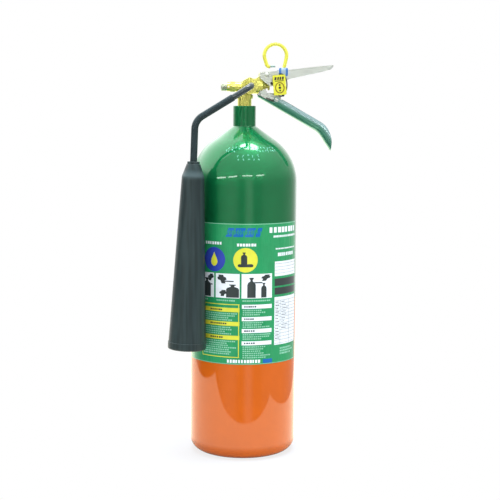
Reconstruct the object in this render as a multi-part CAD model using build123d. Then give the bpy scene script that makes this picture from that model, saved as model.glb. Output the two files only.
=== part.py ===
from build123d import *
import os
from math import cos, radians, sin, tan

# Portable carbon dioxide fire extinguisher, standing upright. Millimetres.
# The origin is the centre of the standing ring, +Z is up, +X runs along the carrying handle
# and -Y is the front, where the discharge tube leaves the valve and the horn hangs.

# ---- driving dimensions: pressure cylinder ----
BODY_R = 69.9  # seamless tube, 139.8 mm across
WALL = 4.5
BASE_CORNER_R = 18.0
RING_R = 42.0  # inner radius of the standing ring
BASE_RISE = 8.0  # height of the dished centre above the floor
BASE_THICK = 6.0
KNUCKLE_R = 68.0
CONE_ANGLE = 35.0  # slope of the shoulder cone, in degrees from the horizontal
CONE_R, CONE_Z = 41.0, 414.0  # a point on the shoulder cone
NECK_R, NECK_BORE_R, NECK_TOP = 12.6, 9.5, 458.7
NECK_RING_R = 15.0

# ---- label ----
LABEL_Z0, LABEL_Z1 = 127.5, 310.0
LABEL_FROM, LABEL_TO = -82.0, 68.6  # degrees round from the front, towards +X
LABEL_THICK = 0.2

# ---- valve ----
AXIS_Z = 484.3  # height of the valve's horizontal axis
BARREL_R, BARREL_X0, BARREL_X1 = 10.0, -0.5, 22.5
NOSE_R, NOSE_X = 7.5, 26.0
FLANGE_R, FLANGE_Z0, FLANGE_Z1 = 11.0, 468.0, 473.0
SPIGOT_R, SHANK_R, SHANK_Z0 = 9.1, 9.45, 432.0
BRANCH_R, BRANCH_X, BRANCH_Z = 6.2, -13.0, 483.3  # relief branch, on the left
RELIEF_THREAD_R = 4.4
SWIVEL_X = 4.6  # the outlet boss and the horn's swivel stand a little to the right of the neck
BOSS_R, BOSS_Y = 8.0, -17.0
CORE_BODY_R = 9.5
SPRING_BORE_R, SPRING_X0, CHAMBER_X0 = 3.4, -3.0, 2.0
CHAMBER_R, SEAT_X0, SEAT_X1 = 5.0, 9.0, 10.6
SEAT_R, SEAT_BORE_R = 5.6, 2.6
POPPET_R, POPPET_X0 = 4.2, 5.5
PACKING_X0 = 15.5
GLAND_THREAD_R, GLAND_X0, GLAND_X1 = 6.0, 17.0, 27.0
STEM_R, STEM_TIP_R = 3.0, 1.8
HEAD_R, HEAD_X0, HEAD_X1 = 5.4, 30.4, 32.6
DIP_R, DIP_BORE_R, DIP_Z0 = 5.0, 4.0, 20.0

# ---- operating lever ----
PIVOT_X, PIVOT_Z, PIVOT_R = 28.1, 498.8, 2.0
LEVER_SHEET, LEVER_HALF = 1.6, 10.0
LEVER_TIP_HALF = 6.5
WEB_X0 = 36.0  # the lever's top web starts here; nearer the pivot it is a fork
LUG_HALF, LUG_R = 8.0, 3.8
PUSHER_X, PUSHER_Z, PUSHER_R = 34.72, 487.9, 2.0

# ---- carrying handle and its bracket ----
HANDLE_SHEET, HANDLE_HALF = 2.0, 11.0
HANDLE_BELLY = 8.0  # the trough is widest this far above its underside, and curls in over it
HANDLE_MOUTH = 8.3  # half the width of the trough's open top
HANDLE_BEND_X, HANDLE_BEND_Z = 97.5, 424.6  # where the underside turns down to the tip
HANDLE_SLOPE, HANDLE_TIP_SLOPE = 29.4, 56.1  # degrees below the horizontal
BOLT_X, BOLT_Z, BOLT_R = 23.5, 475.2, 2.0
RIVET_X, RIVET_Z, RIVET_R = 40.9, 466.8, 1.6
BRACKET_SHEET, BRACKET_HALF = 2.0, 8.2  # the bracket passes through the trough's open top
BRACKET_TOP = 475.6

# ---- safety pin ----
PIN_X, PIN_R, PIN_FOOT = 50.5, 2.0, 471.0
RING_X, RING_Z, RING_WIRE_R = 40.15, 524.4, 14.65
CORE_R, COAT_R = 1.2, 2.4
RIGHT_LEAN, LEFT_LEAN = 12.0, 18.0  # degrees by which the ring's two legs lean inwards
TOE_X, TOE_Z, COAT_END_X = 40.0, 510.0, 33.0  # the ring's left leg ends in a short tail

# ---- discharge tube and horn ----
TUBE_Y = -56.5  # plane in which the tube and the horn swing
ELBOW_X, ELBOW_Z = -67.9, 439.7
TUBE_R, TUBE_BORE_R, SLEEVE_R = 3.9, 2.7, 4.5
SWIVEL_BEND_R, ELBOW_BEND_R = 12.0, 20.0
SLEEVE_X = -20.0  # the sleeve covers the tube from here to the horn
HORN_TOP_Z, HORN_TILT = 388.0, 1.9  # degrees
HORN_LENGTH, HORN_WALL = 241.0, 2.2
HORN_SHOULDER_S, HORN_SHOULDER_R = 19.0, 14.3
HORN_BAND_S, HORN_BAND_R, HORN_RIM_R = 231.5, 24.1, 24.7

FIT = 0.05  # radial running clearance of a shaft in its hole
GAP = 0.1  # axial play of a moving part between its shoulders


# ---- helpers ----
def rod_z(r, z0, z1, x=0.0, y=0.0):
    """Round bar along Z."""
    return Pos(x, y, z0) * extrude(Circle(r), z1 - z0)


def rod_x(r, x0, x1, y=0.0, z=AXIS_Z):
    """Round bar along X."""
    return Plane(origin=(x0, y, z), x_dir=(0, 1, 0), z_dir=(1, 0, 0)) * extrude(Circle(r), x1 - x0)


def rod_y(r, y0, y1, x=0.0, z=AXIS_Z):
    """Round bar along Y, from y0 up to y1."""
    return side_plane(y1, x, z) * extrude(Circle(r), y1 - y0)


def side_plane(y, x=0.0, z=0.0):
    """Plane seen from the front: its local axes are +X and +Z, and it extrudes towards -Y."""
    return Plane(origin=(x, y, z), x_dir=(1, 0, 0), z_dir=(0, -1, 0))


def slab(outline, y0, y1):
    """Side outline, drawn in X and Z, given its thickness between y0 and y1."""
    return side_plane(y1) * extrude(outline, y1 - y0)


def rounded(points, radii):
    """Closed outline through the points, each corner rounded to its own radius."""
    return make_face(FilletPolyline(*points, radius=radii, close=True))


def turned(points, radii):
    """Solid of revolution about Z from an outline of radius and height."""
    return revolve(Plane.XZ * rounded(points, radii), Axis.Z)


def cone_height(r, depth=0.0):
    """Height of the shoulder cone at radius r, on a surface that lies depth under the outer one."""
    slope = radians(CONE_ANGLE)
    return CONE_Z + (CONE_R - r) * tan(slope) - depth / cos(slope)


# ---- pressure cylinder ----
def cylinder_shell():
    inner_r = BODY_R - WALL
    points = [
        (0, BASE_RISE),
        (16, BASE_RISE),
        (RING_R, 0),
        (BODY_R, 0),
        (BODY_R, cone_height(BODY_R)),
        (NECK_R, cone_height(NECK_R)),
        (NECK_R, NECK_TOP),
        (NECK_BORE_R, NECK_TOP),
        (NECK_BORE_R, cone_height(NECK_BORE_R, WALL)),
        (inner_r, cone_height(inner_r, WALL)),
        (inner_r, BASE_THICK),
        (RING_R, BASE_THICK),
        (16, BASE_RISE + BASE_THICK),
        (0, BASE_RISE + BASE_THICK),
    ]
    knuckle_in, corner_in = KNUCKLE_R - WALL, BASE_CORNER_R - WALL
    radii = [0, 30, 8, BASE_CORNER_R, KNUCKLE_R, 0, 0, 0, 0, knuckle_in, corner_in, 14, 24, 0]
    seat = turned([(NECK_BORE_R - 1, 457.2), (11, 457.2), (11, 460), (NECK_BORE_R - 1, 460)], 0)
    return turned(points, radii) - seat


def neck_ring():
    points = [
        (NECK_R, cone_height(NECK_R)),
        (NECK_RING_R, cone_height(NECK_RING_R)),
        (NECK_RING_R, NECK_TOP),
        (NECK_R, NECK_TOP),
    ]
    return turned(points, [0, 0, 0.8, 0])


def neck_seal():
    return rod_z(11, 457.2, NECK_TOP) - rod_z(SHANK_R, 457, 459)


def label():
    section = Plane.XZ * (Pos(BODY_R + LABEL_THICK / 2, (LABEL_Z0 + LABEL_Z1) / 2)
                          * Rectangle(LABEL_THICK, LABEL_Z1 - LABEL_Z0))
    return Rot(0, 0, LABEL_FROM - 90) * revolve(section, Axis.Z, LABEL_TO - LABEL_FROM)


def dip_tube():
    tube = rod_z(DIP_R, DIP_Z0, 446) - rod_z(DIP_BORE_R, DIP_Z0 - 1, 447)
    mitre = Pos(0, 0, DIP_Z0) * Rot(0, 30, 0) * Box(40, 40, 10)
    return tube - mitre


# ---- valve ----
def valve_body():
    body = rod_z(SHANK_R, SHANK_Z0, NECK_TOP) + rod_z(SPIGOT_R, NECK_TOP - 1, FLANGE_Z0 + 1)
    core = rod_z(CORE_BODY_R, FLANGE_Z1 - 1, AXIS_Z + 3.5)
    body += rod_z(FLANGE_R, FLANGE_Z0, FLANGE_Z1) + fillet(core.edges().sort_by(Axis.Z)[-1], 5)
    barrel = fillet(rod_x(BARREL_R, BARREL_X0, BARREL_X1).edges().sort_by(Axis.X)[0], 2.5)
    body += barrel + valve_nose()
    body += rod_x(BRANCH_R, BRANCH_X, 3, z=BRANCH_Z)
    body += rod_y(BOSS_R, BOSS_Y, -3, SWIVEL_X)
    body += bolt_lug()
    body += pivot_lug()
    for passage in valve_passages():
        body -= passage
    return body


def valve_nose():
    """Cone at the barrel's right end, which carries the gland."""
    length = NOSE_X - BARREL_X1
    cone = Cone(BARREL_R, NOSE_R, length, align=(Align.CENTER, Align.CENTER, Align.MIN))
    return Pos(BARREL_X1, 0, AXIS_Z) * Rot(0, 90, 0) * cone


def bolt_lug():
    """Block under the barrel, through which the handle's bolt passes."""
    half = BRACKET_HALF - BRACKET_SHEET
    points = [(12, 476), (17, 474.6), (25.4, 470.2), (28.2, 472.5), (28.2, 477.5), (24, 481), (12, 481)]
    return slab(rounded(points, [0, 2, 2, 1.5, 1.5, 0, 0]), -half, half)


def pivot_lug():
    """Lug over the barrel's end, which carries the lever's pivot pin between the fork's cheeks."""
    web = make_hull(((Pos(PIVOT_X, PIVOT_Z) * Circle(LUG_R)) + (Pos(14, 491) * Circle(2.5))).edges())
    return slab(web, -LUG_HALF, LUG_HALF) - rod_y(PIVOT_R, -20, 20, PIVOT_X, PIVOT_Z)


def valve_passages():
    """Every hole in the body: inlet, valve chamber, gland, relief branch, outlet and bolt hole."""
    outlet = Pos(14.5, -3.3, AXIS_Z) * Rot(0, 0, -32.6) * Rot(90, 0, 0) * extrude(Circle(1.8), 22)
    return [
        rod_z(DIP_R, SHANK_Z0 - 1, 446),
        rod_z(1.9, 445, AXIS_Z, x=3.0),
        rod_x(SPRING_BORE_R, SPRING_X0, CHAMBER_X0 + 0.5),
        rod_x(CHAMBER_R, CHAMBER_X0, SEAT_X0),
        rod_x(SEAT_R, SEAT_X0, GLAND_X0),
        rod_x(GLAND_THREAD_R, GLAND_X0, 40),
        rod_x(7.4, NOSE_X, 40),
        rod_x(1.5, -9, SPRING_X0 + 1, z=BRANCH_Z),
        rod_x(RELIEF_THREAD_R, BRANCH_X - 1, -8.0, z=BRANCH_Z),
        outlet,
        rod_y(BOLT_R + FIT, -20, 20, BOLT_X, BOLT_Z),
    ]


def valve_seat():
    return rod_x(SEAT_R, SEAT_X0, SEAT_X1) - rod_x(SEAT_BORE_R, SEAT_X0 - 1, SEAT_X1 + 1)


def valve_spring():
    """Return spring behind the poppet, in four coils."""
    wire_r, coil_r = 0.35, 2.6
    length = POPPET_X0 - SPRING_X0 - 2 * (wire_r + FIT)
    coil = Helix(pitch=length / 4, height=length, radius=coil_r)
    start = Plane(origin=coil @ 0, z_dir=coil % 0)
    wire = sweep(start * Circle(wire_r), path=coil, is_frenet=True)
    return Pos(SPRING_X0 + wire_r + FIT, 0, AXIS_Z) * Rot(0, 90, 0) * wire


def gland_seal():
    return rod_x(SEAT_R, PACKING_X0, GLAND_X0) - rod_x(STEM_R + FIT, PACKING_X0 - 1, GLAND_X0 + 1)


def gland_nut():
    nut = rod_x(GLAND_THREAD_R, GLAND_X0, NOSE_X) + rod_x(6.8, NOSE_X, GLAND_X1)
    nut -= rod_x(STEM_R + FIT, GLAND_X0 - 1, GLAND_X1 + 1)
    spanner_slot = Pos(GLAND_X1, 0, AXIS_Z) * Box(1.6, 14, 1.6)
    return nut - spanner_slot


def relief_plug():
    hexagon = RegularPolygon(6.6, 6, major_radius=False)
    nut = Plane(origin=(-19, 0, BRANCH_Z), x_dir=(0, 1, 0), z_dir=(1, 0, 0)) * extrude(hexagon, 6)
    nut &= rod_x(7.3, -20, -12, z=BRANCH_Z)
    plug = nut + rod_x(RELIEF_THREAD_R, BRANCH_X, -9.3, z=BRANCH_Z)
    plug += rod_x(5.9, -23.5, -19, z=BRANCH_Z) + rod_x(4.1, -29, -23.5, z=BRANCH_Z)
    return plug - rod_x(1.6, -40, -9, z=BRANCH_Z) - rod_y(1.2, -10, 10, -21.2, BRANCH_Z)


def disc_washer():
    return rod_x(RELIEF_THREAD_R, -9.3, -8.3, z=BRANCH_Z) - rod_x(2.6, -10, -8, z=BRANCH_Z)


def rupture_disc():
    return rod_x(RELIEF_THREAD_R, -8.3, -8.0, z=BRANCH_Z)


def relief_cap():
    cap = rod_x(5.5, -31, -23.5, z=BRANCH_Z)
    cap = chamfer(cap.faces().sort_by(Axis.X)[0].edges(), 0.8)
    return cap - rod_x(4.15, -29.2, -23, z=BRANCH_Z)


def pivot_pin():
    pin = rod_y(PIVOT_R, -LEVER_HALF - GAP, LEVER_HALF + GAP, PIVOT_X, PIVOT_Z)
    return pin + rivet_heads(2.9, LEVER_HALF + GAP, 1.1, PIVOT_X, PIVOT_Z)


def rivet_heads(r, y, height, x, z):
    """Pair of domed rivet heads, seated at -y and +y."""
    ball_r = (r * r + height * height) / (2 * height)
    ball = Pos(0, 0, height - ball_r) * Sphere(ball_r)
    dome = ball & extrude(Circle(r), height)
    front = side_plane(-y, x, z) * dome
    return front + mirror(front, Plane.XZ)


# ---- operating lever ----
def lever_side():
    """Side outline of the lever: fork, pusher corner, tapering grip and upturned tip."""
    points = [
        (18.8, 494.6), (25, 489.8), (31.5, 484.9), (36.6, 484.3), (57, 493.6), (79, 498.7),
        (98, 502.8), (112.5, 506.6), (118, 512.7), (98, 511), (57, 505.7), (18.8, 502.2),
    ]
    return rounded(points, [1.5, 20, 3, 3, 30, 0, 30, 6, 0.9, 40, 40, 3.5])


def lever_plan(inset):
    """Plan outline of the lever, inset from its edge: parallel, then narrowing to a round tip."""
    half, tip, end = LEVER_HALF - inset, LEVER_TIP_HALF - inset, 117 - inset
    points = [(10, -half), (62, -half), (end, -tip), (end, tip), (62, half), (10, half)]
    return rounded(points, [0, 40, tip * 0.8, tip * 0.8, 40, 0])


def lever_hull():
    """The lever as a solid block, before it is hollowed."""
    return slab(lever_side(), -20, 20) & Pos(0, 0, 470) * extrude(lever_plan(0), 60)


def operating_lever():
    inside = slab(Pos(0, -LEVER_SHEET) * lever_side(), -20, 20)
    inside += Pos(0, 0, -8) * inside
    inside &= Pos(0, 0, 470) * extrude(lever_plan(LEVER_SHEET), 60)
    fork_gap = Pos((WEB_X0 + 10) / 2, 0, 495) * Box(WEB_X0 - 10, 2 * (LEVER_HALF - LEVER_SHEET), 40)
    lever = lever_hull() - inside - fork_gap
    pin_slot = Pos(PIN_X + 0.4, 0, 500) * extrude(SlotOverall(9, 5.2), 12)
    lever -= pin_slot
    lever -= rod_y(PIVOT_R + FIT, -20, 20, PIVOT_X, PIVOT_Z)
    return lever - rod_y(PUSHER_R, -20, 20, PUSHER_X, PUSHER_Z)


def pusher_pin():
    return rod_y(PUSHER_R, -LEVER_HALF - 0.4, LEVER_HALF + 0.4, PUSHER_X, PUSHER_Z)


def seal_clip():
    """Plastic saddle over the lever, slotted for the safety pin, with a raised front wall."""
    x0, x1 = 43.8, 55.4
    front = slab(rounded([(x0, 497.6), (x1, 497.6), (x1, 508), (x0, 508)], 1.4), -11.4, -10)
    back = slab(rounded([(x0, 500.5), (x1, 500.5), (x1, 506.4), (x0, 506)], 1.2), 10, 11.4)
    web = slab(rounded([(x0, 503.9), (x1, 504.9), (x1, 506.8), (x0, 505.8)], 0), -10, 10)
    eyelet = slab(rounded([(45, 497.6), (51, 497.6), (51, 501.4), (45, 501.4)], 0.6), -12.4, -11.4)
    slot = Pos(54.4, 0, 500) * extrude(SlotOverall(17, 5.2), 12)
    return front + back + web + eyelet - lever_hull() - slot


def seal_strap():
    """Loop of black band that hangs from the clip and carries the tag."""
    loop = Ellipse(8.2, 15.1) - Ellipse(6.8, 13.7)
    return slab(Pos(46.6, 485.7) * loop, -13.6, -12.4)


def seal_tag():
    """Plate that hangs a little askew."""
    return slab(Pos(44.3, 485.9) * Rot(0, 0, 5) * RectangleRounded(16.8, 26, 1.5), -14.8, -13.6)


# ---- stem and poppet ----
def valve_stem():
    stem = rod_x(STEM_R, 14.3, HEAD_X0) + rod_x(STEM_TIP_R, 7.5, 14.3)
    head = chamfer(rod_x(HEAD_R, HEAD_X0, HEAD_X1).edges(), 0.5)
    return stem + head


def poppet():
    return rod_x(POPPET_R, POPPET_X0, 7.7) - rod_x(STEM_TIP_R, 7.5, 9)


def poppet_seal():
    return rod_x(POPPET_R, 7.7, SEAT_X0 - FIT) - rod_x(STEM_TIP_R, 7, 10)


# ---- carrying handle ----
def handle_floor_path():
    """Line of the handle's underside: straight down from the valve, then bent down to the tip."""
    run, tip_run = radians(HANDLE_SLOPE), radians(HANDLE_TIP_SLOPE)
    start = (5, 0, HANDLE_BEND_Z + (HANDLE_BEND_X - 5) * tan(run))
    end = (HANDLE_BEND_X + 24, 0, HANDLE_BEND_Z - 24 * tan(tip_run))
    return FilletPolyline(start, (HANDLE_BEND_X, 0, HANDLE_BEND_Z), end, radius=26)


def handle_bar(section):
    """Long bar that carries a section along the handle's underside, drawn upwards from it."""
    path = handle_floor_path()
    return sweep(Plane(origin=path @ 0, x_dir=(0, 1, 0), z_dir=path % 0) * section, path=path)


def belly(inset):
    """The trough's oval section, inset from its skin."""
    return Pos(0, HANDLE_BELLY) * Ellipse(HANDLE_HALF - inset, HANDLE_BELLY - inset)


def open_above(oval, half):
    """A section with a straight-sided opening upwards, of half that width."""
    return oval + Pos(0, HANDLE_BELLY) * Rectangle(2 * half, 30, align=(Align.CENTER, Align.MIN))


def handle_side():
    """Outline of the handle's upper edge and its two ends; the underside lies inside it."""
    points = [
        (17, 399.4), (114, 399.4), (115.5, 431.0), (49, 467.0), (43.4, 467.2), (38.8, 463.2),
        (27.2, 467.7), (17, 473.2),
    ]
    return rounded(points, [0, 0, 34, 3, 1, 2, 8, 0.4])


def lower_handle():
    handle = handle_bar(belly(0)) & slab(handle_side(), -20, 20)
    handle -= handle_bar(open_above(belly(HANDLE_SHEET), HANDLE_MOUTH))
    ear = slab(Pos(RIVET_X, RIVET_Z) * Circle(3.6), -HANDLE_HALF, HANDLE_HALF)
    ear -= slab(Pos(RIVET_X, RIVET_Z) * Rectangle(20, 20), -BRACKET_HALF, BRACKET_HALF)
    return handle + ear - rod_y(RIVET_R, -20, 20, RIVET_X, RIVET_Z)


def bracket_side():
    """Side outline of the bracket's cheeks: an ear round the bolt and a plate down to the handle."""
    points = [(17.4, 470), (47, 455), (47, BRACKET_TOP), (17.4, BRACKET_TOP)]
    ear = Pos(BOLT_X, BOLT_Z) * Circle(5.1)
    return rounded(points, 0) + ear


def handle_bracket():
    half = BRACKET_HALF
    bracket = slab(bracket_side(), -half, half) & handle_bar(open_above(belly(0), HANDLE_HALF))
    bracket -= slab(bracket_side(), -half + BRACKET_SHEET, half - BRACKET_SHEET)
    top = Pos(0, 0, BRACKET_TOP - BRACKET_SHEET) * extrude(
        rounded([(29.5, -half), (55, -half), (55, half), (29.5, half)], [0, 8, 8, 0]), BRACKET_SHEET)
    bracket += top
    bracket -= rod_z(PIN_R + FIT, 465, 480, PIN_X)
    bracket -= slab(Pos(32.6, 466.9) * Rot(0, 0, -21) * SlotOverall(12.4, 2.4), -20, 0)
    bracket -= rod_y(BOLT_R + FIT, -20, 20, BOLT_X, BOLT_Z)
    bracket -= rod_y(RIVET_R, -20, 20, RIVET_X, RIVET_Z)
    bracket -= rod_x(BARREL_R, 0, BARREL_X1) + valve_nose()
    return bracket - lower_handle()


def handle_bolt():
    hexagon = RegularPolygon(3.5, 6, major_radius=False)
    head = side_plane(-BRACKET_HALF, BOLT_X, BOLT_Z) * extrude(hexagon, 2.8)
    return head + rod_y(BOLT_R, -BRACKET_HALF, BRACKET_HALF + 4.2, BOLT_X, BOLT_Z)


def handle_nut():
    hexagon = RegularPolygon(3.5, 6, major_radius=False)
    nut = side_plane(BRACKET_HALF + 3.2, BOLT_X, BOLT_Z) * extrude(hexagon, 3.2)
    return nut - rod_y(BOLT_R, 0, 20, BOLT_X, BOLT_Z)


def bracket_rivet():
    rivet = rod_y(RIVET_R, -HANDLE_HALF, HANDLE_HALF, RIVET_X, RIVET_Z)
    return rivet + rivet_heads(2.7, HANDLE_HALF, 0.9, RIVET_X, RIVET_Z)


# ---- safety pin ----
def ring_path():
    """Centre line of the pull ring: right leg, round top, left leg and the short inward tail."""
    right_lean, left_lean = radians(RIGHT_LEAN), radians(LEFT_LEAN)
    right = (RING_X + RING_WIRE_R * cos(right_lean), 0, RING_Z - RING_WIRE_R * sin(right_lean))
    left = (RING_X - RING_WIRE_R * cos(left_lean), 0, RING_Z - RING_WIRE_R * sin(left_lean))
    knee_z = right[2] - (right[0] - PIN_X) / tan(right_lean)
    toe_x = left[0] + (left[2] - TOE_Z) * tan(left_lean)
    leg = FilletPolyline((PIN_X, 0, knee_z - 2.0), (PIN_X, 0, knee_z), right, radius=4)
    arch = ThreePointArc(right, (RING_X, 0, RING_Z + RING_WIRE_R), left)
    toe = FilletPolyline(left, (toe_x, 0, TOE_Z), (TOE_X, 0, TOE_Z), radius=3.5)
    return leg, arch, toe, knee_z - 2.0


def swept(path, r):
    """Round wire of radius r along a path."""
    return sweep(Plane(origin=path @ 0, z_dir=path % 0) * Circle(r), path=path)


def safety_pin():
    leg, arch, toe, top = ring_path()
    wire = swept(Wire(leg.edges() + arch.edges() + toe.edges()), CORE_R)
    shaft = chamfer(rod_z(PIN_R, PIN_FOOT, top, PIN_X).edges().sort_by(Axis.Z)[0], 0.6)
    return shaft + wire


def pull_ring():
    """Plastic coat over the ring's wire, which leaves the tail and the foot bare."""
    leg, arch, toe, _ = ring_path()
    path = Wire(leg.edges() + arch.edges() + toe.edges())
    coat = swept(path, COAT_R) - swept(path, CORE_R)
    bare_tail = Pos(COAT_END_X + 6, 0, 507) * Box(12, 10, 14)
    bare_foot = Pos(PIN_X, 0, 499) * Box(12, 10, 19.6)
    return coat - bare_tail - bare_foot


# ---- discharge tube and horn ----
def swivel_seal():
    return rod_y(7.4, BOSS_Y - 1, BOSS_Y, SWIVEL_X) - rod_y(3.6, BOSS_Y - 2, BOSS_Y + 1, SWIVEL_X)


def swivel_nut():
    hexagon = RegularPolygon(10.0, 6, major_radius=False)
    nut = side_plane(-11.0, SWIVEL_X, AXIS_Z) * Rot(0, 0, 30) * extrude(hexagon, 12.5)
    round_over = Cone(11.9, 10.6, 12.5, align=(Align.CENTER, Align.CENTER, Align.MIN))
    nut &= side_plane(-11.0, SWIVEL_X, AXIS_Z) * round_over
    nut -= rod_y(BOSS_R, BOSS_Y, 0, SWIVEL_X) + rod_y(7.6, -20.4, BOSS_Y + 1, SWIVEL_X)
    return nut - rod_y(5.6 + FIT, -30, -20, SWIVEL_X)


def swivel_ferrule():
    ferrule = rod_y(7.3, -20.3, BOSS_Y - 1 - GAP, SWIVEL_X) + rod_y(5.6, -26, -19.8, SWIVEL_X)
    return ferrule - rod_y(TUBE_R, -30, -10, SWIVEL_X)


def tube_path():
    return FilletPolyline(
        (SWIVEL_X, BOSS_Y - 1 - GAP, AXIS_Z),
        (SWIVEL_X, TUBE_Y, AXIS_Z),
        (ELBOW_X, TUBE_Y, ELBOW_Z),
        on_horn_axis(6.0),
        radius=[SWIVEL_BEND_R, ELBOW_BEND_R],
    )


def on_horn_axis(s):
    """Point on the horn's axis, s below its top."""
    tilt = radians(HORN_TILT)
    top_x = ELBOW_X - (ELBOW_Z - HORN_TOP_Z) * tan(tilt)
    return (top_x - s * sin(tilt), TUBE_Y, HORN_TOP_Z - s * cos(tilt))


def discharge_tube():
    path = tube_path()
    return swept(path, TUBE_R) - swept(path, TUBE_BORE_R)


def tube_sleeve():
    start_z = AXIS_Z + (ELBOW_Z - AXIS_Z) * (SWIVEL_X - SLEEVE_X) / (SWIVEL_X - ELBOW_X)
    path = FilletPolyline((SLEEVE_X, TUBE_Y, start_z), (ELBOW_X, TUBE_Y, ELBOW_Z), on_horn_axis(0),
                          radius=ELBOW_BEND_R)
    return swept(path, SLEEVE_R) - swept(path, TUBE_R)


def along_horn(shape):
    """Carries a shape drawn downwards from the origin onto the horn's tilted axis."""
    return Pos(*on_horn_axis(0)) * Rot(0, HORN_TILT, 0) * shape


def horn_collar():
    points = [(TUBE_R, 0), (8.0, 0), (8.0, -3), (6.5, -3), (6.5, -18), (TUBE_R, -18)]
    return along_horn(turned(points, [0, 0.8, 0, 0, 0, 0]))


def nozzle_insert():
    points = [(1.6, -18), (6.4, -18), (6.4, -25), (4.5, -28), (3.0, -28), (1.6, -25)]
    return along_horn(turned(points, 0))


def horn():
    step = HORN_BAND_R - 1.0
    shoulder_in = HORN_SHOULDER_R - HORN_WALL
    mouth_in = step - HORN_WALL + 0.8
    end = -HORN_LENGTH + 2
    points = [
        (6.5, -3), (8.6, -3), (HORN_SHOULDER_R, -HORN_SHOULDER_S), (HORN_BAND_R, -HORN_BAND_S),
        (step, -HORN_BAND_S), (step, end), (mouth_in, end),
        (shoulder_in, -HORN_SHOULDER_S - 1), (6.5, -12),
    ]
    return along_horn(turned(points, [0, 1.2, 8, 0, 0, 0, 0, 3, 0]))


def horn_rim():
    step = HORN_BAND_R - 1.0
    mouth_in = step - HORN_WALL + 0.8
    end = -HORN_LENGTH + 2
    points = [(step, -HORN_BAND_S), (HORN_RIM_R, -HORN_BAND_S), (HORN_RIM_R, -HORN_LENGTH),
              (mouth_in, -HORN_LENGTH), (mouth_in, end), (step, end)]
    return along_horn(turned(points, [0, 0.5, 1.8, 0.6, 0, 0]))


PARTS = [
    cylinder_shell, neck_ring, neck_seal, label, dip_tube,
    valve_body, valve_seat, valve_spring, gland_seal, gland_nut,
    relief_plug, disc_washer, rupture_disc, relief_cap, pivot_pin,
    operating_lever, pusher_pin, seal_clip, seal_strap, seal_tag,
    valve_stem, poppet, poppet_seal,
    lower_handle, handle_bracket, handle_bolt, handle_nut, bracket_rivet,
    safety_pin, pull_ring,
    swivel_seal, swivel_nut, swivel_ferrule, discharge_tube, tube_sleeve,
    horn_collar, nozzle_insert, horn, horn_rim,
]

os.makedirs("parts", exist_ok=True)
for make in PARTS:
    export_step(make(), f"parts/{make.__name__}.step")
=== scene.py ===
"""Portable gas fire extinguisher: finishes, printed film, small trim and the studio round it."""

from math import pi, radians, tau

import bpy
import numpy as np
from bpy.props import FloatProperty, FloatVectorProperty, PointerProperty
from bpy.types import Operator, Panel, PropertyGroup
from mathutils import Matrix, Vector


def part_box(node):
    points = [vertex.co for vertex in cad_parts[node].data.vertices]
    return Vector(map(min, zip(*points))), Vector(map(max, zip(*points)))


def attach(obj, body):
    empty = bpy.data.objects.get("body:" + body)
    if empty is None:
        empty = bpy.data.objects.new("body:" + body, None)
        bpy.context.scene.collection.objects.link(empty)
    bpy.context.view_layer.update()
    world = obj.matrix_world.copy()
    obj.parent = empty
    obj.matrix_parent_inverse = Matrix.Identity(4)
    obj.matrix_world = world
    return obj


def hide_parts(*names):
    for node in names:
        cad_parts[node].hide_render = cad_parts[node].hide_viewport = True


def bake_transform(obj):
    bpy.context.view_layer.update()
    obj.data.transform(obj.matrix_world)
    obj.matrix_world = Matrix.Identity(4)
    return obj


bl_info = {
    "name": "Fire extinguisher finishes",
    "version": (1, 0, 0),
    "blender": (4, 5, 0),
    "location": "3D View > Sidebar > Extinguisher",
    "description": "Paint, metals, plastics, printed film and studio for a portable fire extinguisher",
    "category": "Object",
}

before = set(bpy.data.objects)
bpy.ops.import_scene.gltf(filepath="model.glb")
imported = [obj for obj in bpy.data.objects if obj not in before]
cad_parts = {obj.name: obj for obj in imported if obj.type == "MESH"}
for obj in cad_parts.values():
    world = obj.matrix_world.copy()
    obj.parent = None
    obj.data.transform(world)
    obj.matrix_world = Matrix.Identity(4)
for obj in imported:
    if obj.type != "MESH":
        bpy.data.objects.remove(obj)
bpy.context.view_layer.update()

MM = 0.001
TAG_LOW, TAG_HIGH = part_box("seal_tag")
CLIP_LOW, CLIP_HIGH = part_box("seal_clip")
FILM_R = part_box("cylinder_shell")[1].x + 0.2 * MM  # outer face of the printed film
PRINT_LIFT = 0.04 * MM  # one layer of ink


# -------- settings
def colour(name, description, rgb):
    """A colour setting, in linear light."""
    return FloatVectorProperty(name=name, description=description, subtype="COLOR", size=4,
                               min=0.0, max=1.0, default=(*rgb, 1.0))


def share(name, description, default):
    """A setting from 0 to 1."""
    return FloatProperty(name=name, description=description, default=default, min=0.0, max=1.0,
                         subtype="FACTOR")


def measure(name, description, default, unit="LENGTH", **limits):
    """A setting with a unit: metres, radians or watts."""
    return FloatProperty(name=name, description=description, default=default, unit=unit, **limits)


def ink(name, rgb):
    """The colour setting of one of the film's inks."""
    return colour(name + " ink", name + " of the film's print", rgb)


class CylinderSettings(PropertyGroup):
    upper: colour("Upper enamel", "Colour of the upper part of the cylinder", (0.004, 0.165, 0.047))
    lower: colour("Lower enamel", "Colour of the lower part of the cylinder", (0.66, 0.116, 0.004))
    change: measure("Colour change", "Height of the line between the two colours", 0.208)
    polish: share("Enamel roughness", "Roughness of the enamel under its clear coat", 0.36)
    flake: share("Metal flake", "How much of the upper enamel shines like metal flake", 0.5)
    film: colour("Film", "Ground colour of the printed film", (0.02, 0.3, 0.096))
    film_gloss: share("Film roughness", "Roughness of the printed film", 0.3)


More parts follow.
